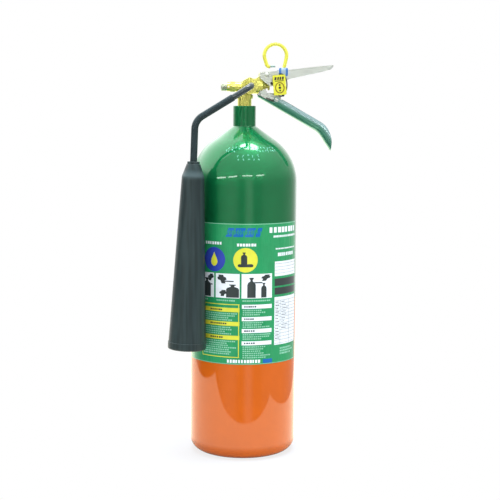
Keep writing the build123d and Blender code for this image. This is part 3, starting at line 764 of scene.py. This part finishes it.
def pale_print(rng):
    """Lines of small print in pale green, and the film's thin margin lines."""
    shapes = [bar(-80.0, 68.0, 309.1, 0.7), bar(-80.0, 68.0, 128.3, 0.6)]
    for start, end in PANELS:
        shapes += lines(rng, start + 1, end - 1, 210.5, 1.8, word=3.0)
    for z, rows in zip(YELLOW_HEADS, (4, 4, 7)):
        shapes += lines(rng, -51.0, -11.0, z - 4.9, 1.6, rows, 2.75, 2, 0.35, 2.8)
    for z, rows in zip(WHITE_HEADS, (3, 3, 3, 6)):
        shapes += lines(rng, -5.5, 26.0, z - 4.8, 1.6, rows, 2.8, 2, 0.4, 2.8)
    shapes += lines(rng, -79.0, -57.0, 203.0, 1.6, 22, 2.9, word=3.0)
    shapes += lines(rng, -79.0, -60.0, 296.0, 1.8, 9, 3.6, word=3.4)
    return shapes + lines(rng, 38.0, 63.0, 146.0, 2.2, 3, 3.4, word=3.2)


class EXTINGUISHER_OT_film(Operator):
    """Printed film: the ground and one piece for each ink"""

    bl_idname = "extinguisher.film"
    bl_label = "Printed film"

    def execute(self, context):
        cylinder, inks = context.scene.extinguisher_cylinder, context.scene.extinguisher_print
        finish_nodes(ink_material("film_ground", cylinder.film, cylinder.film_gloss), "label")
        for ink, make in (("white", white_print), ("yellow", yellow_print), ("blue", blue_print),
                          ("sky", sky_print), ("dark", dark_print), ("pale", pale_print)):
            shapes = make(np.random.default_rng(PRINT_SEED))
            printed("film_print_" + ink, round_film, shapes, getattr(inks, ink), "cylinder", "label_film")
        return {"FINISHED"}


# -------- tag
TAG_LEAN = radians(5.0)


def flat_tag(u, v, x, z, layer):
    """Lays a flat print on the tag's front face: x and z are from the tag's middle, leaning with it."""
    across, up = x + u, z + v
    middle_x, middle_z = (TAG_LOW.x + TAG_HIGH.x) / 2, (TAG_LOW.z + TAG_HIGH.z) / 2
    return np.stack([middle_x + (across * np.cos(TAG_LEAN) - up * np.sin(TAG_LEAN)) * MM,
                     0 * u + TAG_LOW.y - layer * PRINT_LIFT,
                     middle_z + (across * np.sin(TAG_LEAN) + up * np.cos(TAG_LEAN)) * MM], -1)


class EXTINGUISHER_OT_tag(Operator):
    """Inspection tag: yellow plate with a generic oval and bars"""

    bl_idname = "extinguisher.tag"
    bl_label = "Inspection tag"

    def execute(self, context):
        plastic = context.scene.extinguisher_plastic
        finish_nodes(moulded_material("tag_yellow", plastic.tag, 0.4, 900.0, 0.00005, 0.4), "seal_tag")
        brown = [(*ring_grid(12.4, 14.6, 1.3), 0.0, -3.6, 1)]
        dark = [mark("disc", size, size, 0.0, z) for z, size in ((0.0, 2.4), (-3.6, 3.4), (-7.2, 2.4))]
        dark += [mark(BAR, width, 4.0, x, 8.4, slant=0.8)
                 for x, width in ((-4.8, 2.6), (-1.4, 2.0), (1.6, 2.2), (4.8, 2.6))]
        dark.append(mark(BAR, 11.5, 0.9, 0.0, 5.2))
        printed("tag_print_brown", flat_tag, brown, TAG_BROWN, "lever", "tag_plastic")
        printed("tag_print_dark", flat_tag, dark, TAG_DARK, "lever", "tag_plastic")
        return {"FINISHED"}


# -------- stamped marks, in mm; the rows are lean, first angle, last angle and count
KNUCKLE_R, KNUCKLE_X, KNUCKLE_Z = 68.0, 1.9, 358.4  # arc of the rounded shoulder: radius and centre
STAMP_ROWS = ((43.4, -27.0, 40.0, 14), (39.4, -30.0, -18.0, 4), (39.4, 13.0, 41.0, 8),
              (32.9, -13.0, 12.0, 5), (28.2, -12.0, 12.5, 5))
STAMP_HEIGHT, STAMP_HALF_WIDTH, STAMP_LENGTHS = 0.3, 0.45, (1.2, 3.0)
STAMP_SLOPES, STAMP_SHIFT = (0.0, 0.1, pi / 2, 0.6, -0.6), (0.7, 1.5)
STAMP_GRID, STAMP_WALL, STAMP_SEED = 5, 0.25 * MM, 3


def stamped_marks():
    """Rows of short raised ticks on the rounded shoulder, two to a mark.

    Each tick is a pillow, lift = STAMP_HEIGHT (1 - u^2)(1 - v^2), over a narrow strip turned in the
    surface. The surface is the arc r = KNUCKLE_X + (KNUCKLE_R + lift) cos(lean),
    z = KNUCKLE_Z + (KNUCKLE_R + lift) sin(lean), turned round the axis."""
    rng = np.random.default_rng(STAMP_SEED)
    spots = np.concatenate([np.stack([np.linspace(start, end, count), np.full(count, lean)], -1)
                            for lean, start, end, count in STAMP_ROWS])
    spots = np.radians(np.repeat(spots, 2, axis=0))[:, :, None, None]
    count = len(spots)
    slope = rng.choice(STAMP_SLOPES, count)[:, None, None]
    length = rng.uniform(*STAMP_LENGTHS, count)[:, None, None]
    shift = rng.uniform(-1.0, 1.0, (2, count, 1, 1)) * np.array(STAMP_SHIFT)[:, None, None, None]
    steps = np.linspace(-1, 1, STAMP_GRID)
    u, v = np.meshgrid(steps, steps)
    across, along = u * STAMP_HALF_WIDTH + 0 * length, v * length / 2
    side = across * np.cos(slope) - along * np.sin(slope) + shift[0]
    up = across * np.sin(slope) + along * np.cos(slope) + shift[1]
    reach = KNUCKLE_R + STAMP_HEIGHT * (1 - u ** 2) * (1 - v ** 2)
    lean = spots[:, 1] + up / KNUCKLE_R
    r = KNUCKLE_X + reach * np.cos(lean)
    turn = spots[:, 0] + side / r
    points = np.stack([r * np.sin(turn), -r * np.cos(turn), KNUCKLE_Z + reach * np.sin(lean)], -1) * MM
    faces = grid_faces(STAMP_GRID, STAMP_GRID)[None] + STAMP_GRID ** 2 * np.arange(count)[:, None, None]
    return points.reshape(-1, 3), faces.reshape(-1, 4)


class EXTINGUISHER_OT_stamp(Operator):
    """Raised ticks stamped on the shoulder"""

    bl_idname = "extinguisher.stamp"
    bl_label = "Stamped marks"

    def execute(self, context):
        # rubbed paint with painted highlight: the ticks are paler than the enamel round them
        rubbed = satin_metal_material("stamp_rubbed", STAMP_ENAMEL, 0.32, 0.4)
        new_piece("stamped_marks", *stamped_marks(), rubbed, "cylinder", "paint", STAMP_WALL)
        return {"FINISHED"}


# -------- finishes of the CAD nodes
class EXTINGUISHER_OT_surfaces(Operator):
    """Shared shader effects, built once"""

    bl_idname = "extinguisher.surfaces"
    bl_label = "Shared effects"

    def execute(self, context):
        build_grain_group()
        build_wear_and_highlight_group()
        build_marks_group()
        build_room_group()
        return {"FINISHED"}


class EXTINGUISHER_OT_enamel(Operator):
    """Two-tone enamel of the pressure cylinder and its neck ring"""

    bl_idname = "extinguisher.enamel"
    bl_label = "Cylinder enamel"

    def execute(self, context):
        finish_nodes(enamel_material(context.scene.extinguisher_cylinder), "cylinder_shell", "neck_ring")
        return {"FINISHED"}


SPRING_TURNS, SPRING_WIRE_R = 4, 0.35 * MM
SPRING_ROWS, SPRING_SIDES = 161, 12  # points along the wire and round it


def spring_coil():
    """Return spring between the barrel and the poppet, in the box of the CAD's spring.

    With a = 2 pi turns t for t from 0 to 1, the wire's middle is at (x0 + length t, y0 + R cos a,
    z0 + R sin a), and its skin is wire r (o cos b + s sin b) from there, where o = (0, cos a, sin a)
    points outwards, s is square to o and to the wire, and b runs from 0 to 2 pi. Both ends are flat."""
    low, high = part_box("valve_spring")
    reach = (high.z - low.z) / 2 - SPRING_WIRE_R
    length = high.x - low.x - 2 * SPRING_WIRE_R
    t = np.linspace(0, 1, SPRING_ROWS)[:, None]
    b = np.arange(SPRING_SIDES)[None, :] * (tau / SPRING_SIDES)
    a = tau * SPRING_TURNS * t
    zero = np.zeros_like(a)
    outward = np.stack([zero, np.cos(a), np.sin(a)], -1)
    climb = np.full_like(a, length)
    sweep = tau * SPRING_TURNS * reach
    wire = np.stack([climb, -sweep * np.sin(a), sweep * np.cos(a)], -1)
    side = np.cross(wire / np.linalg.norm(wire, axis=-1, keepdims=True), outward)
    middle = np.array([low.x + SPRING_WIRE_R, (low.y + high.y) / 2, (low.z + high.z) / 2])
    middle = middle + np.stack([length * t, zero, zero], -1) + reach * outward
    skin = outward * np.cos(b)[..., None] + side * np.sin(b)[..., None]
    points = (middle + SPRING_WIRE_R * skin).reshape(-1, 3)
    row, column = np.arange(SPRING_ROWS - 1)[:, None] * SPRING_SIDES, np.arange(SPRING_SIDES)[None, :]
    following = row + (column + 1) % SPRING_SIDES
    walls = np.stack([row + column, following, following + SPRING_SIDES, row + column + SPRING_SIDES], -1)
    i = np.arange(SPRING_SIDES // 2 - 1)
    end = np.stack([i, SPRING_SIDES - 1 - i, SPRING_SIDES - 2 - i, i + 1], -1)
    far_end = end[:, ::-1] + (SPRING_ROWS - 1) * SPRING_SIDES
    return points, np.concatenate([walls.reshape(-1, 4), end, far_end])


class EXTINGUISHER_OT_valve(Operator):
    """Brass valve with its seals, relief cap, safety pin and the return spring"""

    bl_idname = "extinguisher.valve"
    bl_label = "Valve finishes"

    def execute(self, context):
        metal = context.scene.extinguisher_metal
        finish_nodes(brass_material(metal.brass), "valve_body", "valve_stem", "valve_seat", "poppet",
                     "gland_nut", "swivel_nut", "swivel_ferrule", "relief_plug", "nozzle_insert")
        finish_nodes(satin_metal_material("cap_grey", metal.cap, 0.45, 0.9), "relief_cap", "dip_tube")
        # the stainless parts take the chrome colour with its painted teal reflection
        stainless = satin_metal_material("stainless", metal.chrome, 0.28, 1.0)
        finish_nodes(stainless, "rupture_disc", "safety_pin")
        spring = new_piece("return_spring", *spring_coil(), stainless, None, "stainless")
        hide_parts("valve_spring")
        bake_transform(spring)
        finish_nodes(moulded_material("seal_fibre", FIBRE, 0.6), "neck_seal", "disc_washer", "swivel_seal",
                     "poppet_seal")
        finish_nodes(moulded_material("seal_rubber", RUBBER, 0.55), "gland_seal")
        return {"FINISHED"}


class EXTINGUISHER_OT_levers(Operator):
    """Operating lever, bracket, fasteners and the chromed handle"""

    bl_idname = "extinguisher.levers"
    bl_label = "Lever and handle finishes"

    def execute(self, context):
        metal = context.scene.extinguisher_metal
        finish_nodes(zinc_material(metal.zinc), "operating_lever", "handle_bracket", "handle_bolt",
                     "handle_nut", "bracket_rivet", "pivot_pin")
        finish_nodes(satin_metal_material("dark_steel", metal.dark, 0.4, 0.6), "pusher_pin")
        finish_nodes(chrome_material(metal.chrome), "lower_handle")
        return {"FINISHED"}


class EXTINGUISHER_OT_safety(Operator):
    """Safety ring's coat, clip and strap"""

    bl_idname = "extinguisher.safety"
    bl_label = "Safety pin finishes"

    def execute(self, context):
        plastic = context.scene.extinguisher_plastic
        finish_nodes(moulded_material("ring_coat", plastic.ring, 0.36, 700.0, 0.00005, 0.5), "pull_ring")
        finish_nodes(clip_material(plastic.clip), "seal_clip")
        finish_nodes(moulded_material("strap_black", plastic.black, 0.5), "seal_strap")
        return {"FINISHED"}


class EXTINGUISHER_OT_horn(Operator):
    """Discharge tube, sleeve and horn"""

    bl_idname = "extinguisher.horn"
    bl_label = "Tube and horn finishes"

    def execute(self, context):
        plastic = context.scene.extinguisher_plastic
        finish_nodes(horn_material(plastic.horn), "horn", "horn_rim", "horn_collar")
        gloss = moulded_material("tube_enamel", plastic.tube, 0.3, 600.0, 0.00005, 0.8)
        finish_nodes(gloss, "discharge_tube")
        finish_nodes(moulded_material("sleeve_black", plastic.tube, 0.42, 900.0, 0.00008), "tube_sleeve")
        return {"FINISHED"}


# -------- studio
FLOOR_HALF, FLOOR_GREY = 4.0, (0.6, 0.6, 0.6, 1.0)
LAMP_TARGET, LAMP_TINT = (0.0, 0.0, 0.27), (0.8, 1.0, 1.3)
CAMERA_SENSOR, CAMERA_LENS = 36.0, 92.74
CAMERA_PAN, CAMERA_ROLL = radians(0.29), radians(0.44)


def ray_kinds(tree):
    """Which rays ask for the colour: 1 for the camera's, and 1 for mirrored or refracted ones."""
    path = tree.nodes.new("ShaderNodeLightPath").outputs
    return path["Is Camera Ray"], maths("MAXIMUM", path["Is Glossy Ray"], path["Is Transmission Ray"])


def floor_material():
    """White floor. A camera ray sees white that keeps the object's faint shadow; a glossy ray sees the
    white table up to its three edges and the dim room beyond them."""
    material, shader, place = new_material("studio_floor")
    tree = material.node_tree
    fill(shader, Base_Color=FLOOR_GREY, Roughness=0.9, Specular_IOR_Level=0.0)
    camera, mirrored = ray_kinds(tree)
    x, y, _ = split(place)
    table = product(remapped(x, *TABLE_LEFT), remapped(x, *TABLE_RIGHT), remapped(y, *TABLE_FRONT))
    away = combined("ShaderNodeVectorMath", "LENGTH", place)["Value"]
    lit = blended(smoothed(away, *TABLE_SHADE), BLACK, TABLE_RGBA)
    room = placed(place, "studio_room")[0]
    seen = add(tree, "ShaderNodeEmission", Color=blended(table, room, lit))
    white = add(tree, "ShaderNodeEmission")
    front = either(smoothed(away, *FLOOR_SHADE), shader, white)
    both = either(camera, either(mirrored, shader, seen), front)
    put(tree.nodes["Material Output"], "Surface", both.outputs[0])
    return material


def build_world(level):
    """World: white to the camera, the studio room to glossy rays, and an even soft light otherwise."""
    world = bpy.data.worlds.new("studio_world")
    bpy.context.scene.world = world
    world.use_nodes = True
    tree = world.node_tree
    tree.nodes.clear()
    camera, mirrored = ray_kinds(tree)
    room = placed(tree.nodes.new("ShaderNodeTexCoord").outputs["Generated"], "studio_room")[0]
    light = blended(camera, blended(mirrored, (level, level, level, 1.0), room), WHITE)
    back = add(tree, "ShaderNodeBackground", Color=light)
    add(tree, "ShaderNodeOutputWorld", Surface=back.outputs[0])


def soft_lamp(name, place, size, power, tint=(1.0, 1.0, 1.0)):
    """Large soft lamp that lights the object evenly and isn't itself mirrored in it."""
    data = bpy.data.lights.new(name, "AREA")
    data.shape, data.size, data.energy, data.color = "SQUARE", size, power, tint
    lamp = new_object(name, data)
    turn = Vector(np.subtract(LAMP_TARGET, place)).to_track_quat("-Z", "Y").to_matrix()
    lamp.matrix_world = Matrix.Translation(place) @ turn.to_4x4()
    lamp.visible_glossy = False


class EXTINGUISHER_OT_studio(Operator):
    """White floor, even soft light and the camera"""

    bl_idname = "extinguisher.studio"
    bl_label = "Studio"

    def execute(self, context):
        settings = context.scene.extinguisher_studio
        build_world(settings.room)
        corners = FLOOR_HALF * np.array([[-1, -1, 0], [1, -1, 0], [1, 1, 0], [-1, 1, 0]])
        mesh = bpy.data.meshes.new("floor")
        mesh.from_pydata(corners.tolist(), [], [(0, 1, 2, 3)])
        mesh.materials.append(floor_material())
        floor = new_object("floor", mesh)
        soft_lamp("lamp_left", (-1.5, -1.1, 1.5), 1.4, settings.key)
        soft_lamp("lamp_right", (1.6, -1.0, 1.2), 1.4, settings.key)
        soft_lamp("lamp_above", (0.05, -0.05, 2.3), 1.3, settings.top, LAMP_TINT)
        self.add_camera(context, settings)
        context.scene.view_settings.view_transform = "Standard"
        return {"FINISHED"}

    def add_camera(self, context, settings):
        """Camera at the given distance, turned with the heading, looking down by the pitch."""
        data = bpy.data.cameras.new("camera")
        data.sensor_width, data.lens = CAMERA_SENSOR, CAMERA_LENS
        camera = new_object("camera", data)
        away, heading = settings.distance, settings.heading
        place = (-away * np.sin(heading), -away * np.cos(heading), settings.height)
        turn = (Matrix.Rotation(-heading - CAMERA_PAN, 4, "Z")
                @ Matrix.Rotation(pi / 2 - settings.pitch, 4, "X") @ Matrix.Rotation(CAMERA_ROLL, 4, "Z"))
        camera.matrix_world = Matrix.Translation(place) @ turn
        context.scene.camera = camera


# -------- panel and registration
OPERATORS = (
    EXTINGUISHER_OT_surfaces, EXTINGUISHER_OT_enamel, EXTINGUISHER_OT_valve, EXTINGUISHER_OT_levers,
    EXTINGUISHER_OT_safety, EXTINGUISHER_OT_horn, EXTINGUISHER_OT_film, EXTINGUISHER_OT_tag,
    EXTINGUISHER_OT_stamp, EXTINGUISHER_OT_studio,
)


class EXTINGUISHER_PT_panel(Panel):
    """Lists the steps and their settings"""

    bl_idname = "EXTINGUISHER_PT_panel"
    bl_label = "Extinguisher"
    bl_space_type = "VIEW_3D"
    bl_region_type = "UI"
    bl_category = "Extinguisher"

    def draw(self, context):
        for operator in OPERATORS:
            self.layout.operator(operator.bl_idname)
        for name in SETTINGS:
            group = getattr(context.scene, name)
            for setting in group.bl_rna.properties:
                if not setting.is_readonly and setting.identifier != "name":
                    self.layout.prop(group, setting.identifier)


def register():
    for cls in (*SETTINGS.values(), *OPERATORS, EXTINGUISHER_PT_panel):
        bpy.utils.register_class(cls)
    for name, cls in SETTINGS.items():
        setattr(bpy.types.Scene, name, PointerProperty(type=cls))


def unregister():
    for name in SETTINGS:
        delattr(bpy.types.Scene, name)
    for cls in (EXTINGUISHER_PT_panel, *reversed(OPERATORS), *reversed(SETTINGS.values())):
        bpy.utils.unregister_class(cls)


def main():
    register()
    for operator in OPERATORS:
        module, name = operator.bl_idname.split(".")
        getattr(getattr(bpy.ops, module), name)()


if __name__ == "__main__":
    main()
